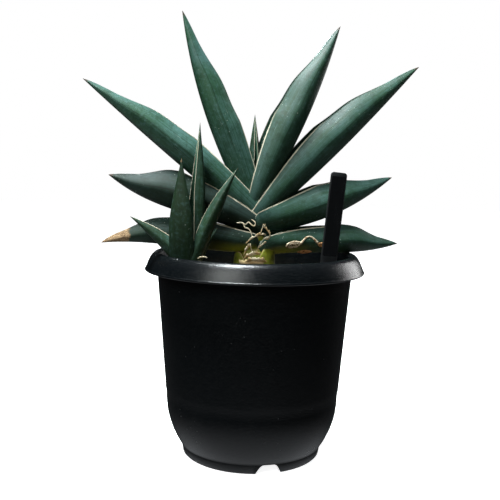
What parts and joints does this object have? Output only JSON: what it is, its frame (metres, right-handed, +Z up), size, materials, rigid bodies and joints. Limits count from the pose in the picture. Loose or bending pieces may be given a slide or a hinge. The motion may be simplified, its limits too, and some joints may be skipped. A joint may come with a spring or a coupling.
{
  "type": "potted snake plant",
  "caption": "Snake plant with thick channelled leaves in a flat fan and a young offset beside it, in a round black plastic nursery pot with a blank plant label.",
  "frame": {"origin": "on the pot's axis, in the plane its foot stands on", "axes": "+Z up along the pot's axis; X along the fan of leaves, roughly; -Y towards the side the young offset is on"},
  "size_m": [0.226, 0.15, 0.2975],
  "materials": {
    "pot_plastic": "black moulded polypropylene with a fine stipple, softly glossy, lightly scuffed and dusty",
    "soil_mix": "gritty succulent mix of bark, pumice and small stones",
    "leaf_green": "waxy dark blue-green leaf with faint lengthwise lines, thin papery margins and a dry brown point",
    "young_leaf": "waxy green young leaf, paler in the channel, with a whitish margin",
    "stem_green": "smooth yellow-green stem with pale leaf scars",
    "dry_sheath": "dry, papery, fibrous tan sheath",
    "root_tan": "tan rhizome and roots with fine rings",
    "label_plastic": "satin black plastic strip",
    "label_tape": "glossy black blank tape"
  },
  "bodies": {
    "root": {"pot": "pot_plastic", "soil": "soil_mix", "stem": "stem_green", "roots": "root_tan", "offset_stem": "stem_green", "offset_runner": "root_tan", "leaf_centre_young": "young_leaf", "leaf_upper_left": "leaf_green", "leaf_upper_right": "leaf_green", "leaf_middle_left": "leaf_green", "leaf_middle_right": "leaf_green", "leaf_low_left": "leaf_green", "leaf_low_right": "leaf_green", "leaf_lowest_left": "leaf_green", "leaf_lowest_right": "leaf_green", "offset_leaf_inner": "young_leaf", "offset_leaf_tall": "young_leaf", "offset_leaf_right": "young_leaf", "offset_leaf_left": "young_leaf", "offset_leaf_front": "young_leaf", "dry_husk_front": "dry_sheath", "dry_husk_back": "dry_sheath", "label": "label_plastic", "label_tape": "label_tape"}
  },
  "joints": []
}
